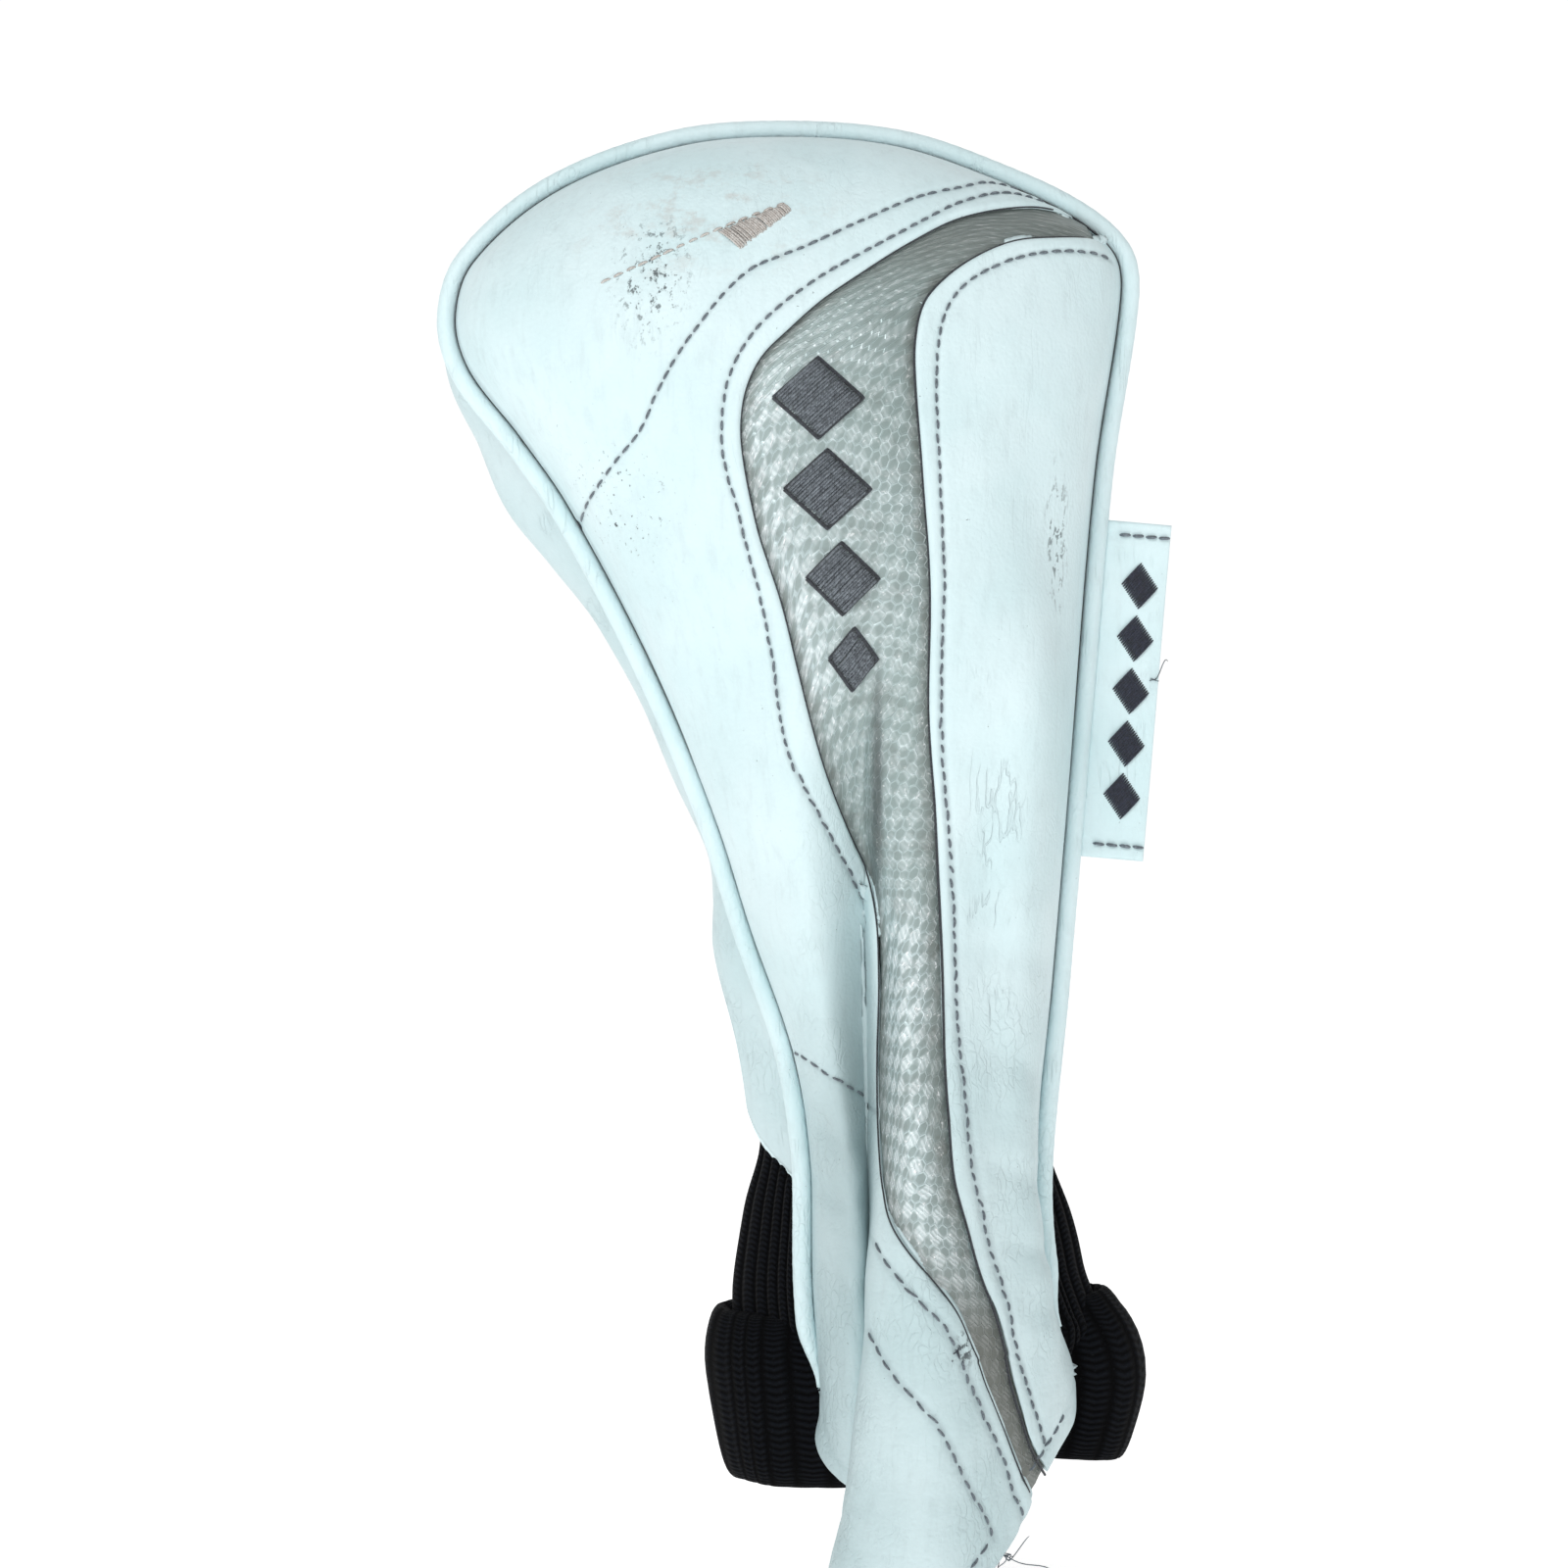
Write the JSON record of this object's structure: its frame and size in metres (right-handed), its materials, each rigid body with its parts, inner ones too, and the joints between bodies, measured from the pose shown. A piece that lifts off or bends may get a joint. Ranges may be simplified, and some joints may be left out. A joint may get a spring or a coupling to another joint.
{
  "type": "golf driver head cover",
  "caption": "Padded leather golf driver head cover with a silver inlay, piped edges, a folded side tag and a ribbed knit neck with a cuff.",
  "frame": {"origin": "centre of the neck mouth, level with the tip of the tongue and in the plane of the piped seam", "axes": "+Z from the neck mouth to the toe end, -Y towards the crown side with the inlay, +X towards the side tag"},
  "size_m": [0.1672, 0.0978, 0.3354],
  "materials": {
    "white_leather": "smooth, satin, faintly wrinkled",
    "silver_weave": "hexagon patterned, reflective",
    "black_knit": "ribbed knit, matt",
    "plush_lining": "short pile",
    "foam": "open-cell foam",
    "grey_thread": "heavy topstitching thread",
    "slate_thread": "satin stitch",
    "navy_thread": "satin stitch",
    "taupe_thread": "worn line embroidery"
  },
  "bodies": {
    "shell": {"crown_panel_left": "white_leather", "crown_panel_right": "white_leather", "gusset_band": "white_leather", "sole_panel": "white_leather", "arch_binding": "white_leather", "perimeter_piping": "white_leather", "silver_inlay_panel": "silver_weave", "knit_sock": "black_knit", "front_foam": "foam", "back_foam": "foam", "front_lining": "plush_lining", "back_lining": "plush_lining", "inlay_stitch_left_upper": "grey_thread", "inlay_stitch_left_lower": "grey_thread", "inlay_stitch_right": "grey_thread", "accent_stitch_upper": "grey_thread", "accent_stitch_lower": "grey_thread", "hem_stitch_right": "grey_thread", "inlay_lozenge_1": "slate_thread", "inlay_lozenge_2": "slate_thread", "inlay_lozenge_3": "slate_thread", "inlay_lozenge_4": "slate_thread", "flag_pole_embroidery": "taupe_thread", "flag_pennant_embroidery": "taupe_thread"},
    "tag": {"side_tag": "white_leather", "tag_stitch_top": "grey_thread", "tag_stitch_bottom": "grey_thread", "tag_lozenge_1": "navy_thread", "tag_lozenge_2": "navy_thread", "tag_lozenge_3": "navy_thread", "tag_lozenge_4": "navy_thread", "tag_lozenge_5": "navy_thread"},
    "cuff": {"knit_cuff": "black_knit"}
  },
  "joints": [
    {"name": "tag_hinge", "type": "hinge", "parent": "shell", "child": "tag", "pos_m": [0.035, 0.0009, 0.20625], "axis": [0.086, 0, 0.9963], "range_deg": [-80, 80], "stiffness_Nm_per_rad": 0.002},
    {"name": "cuff_slide", "type": "slide", "parent": "shell", "child": "cuff", "axis": [0, 0, 1], "range_m": [0, 0.025], "deforming": ["knit_sock"]}
  ]
}
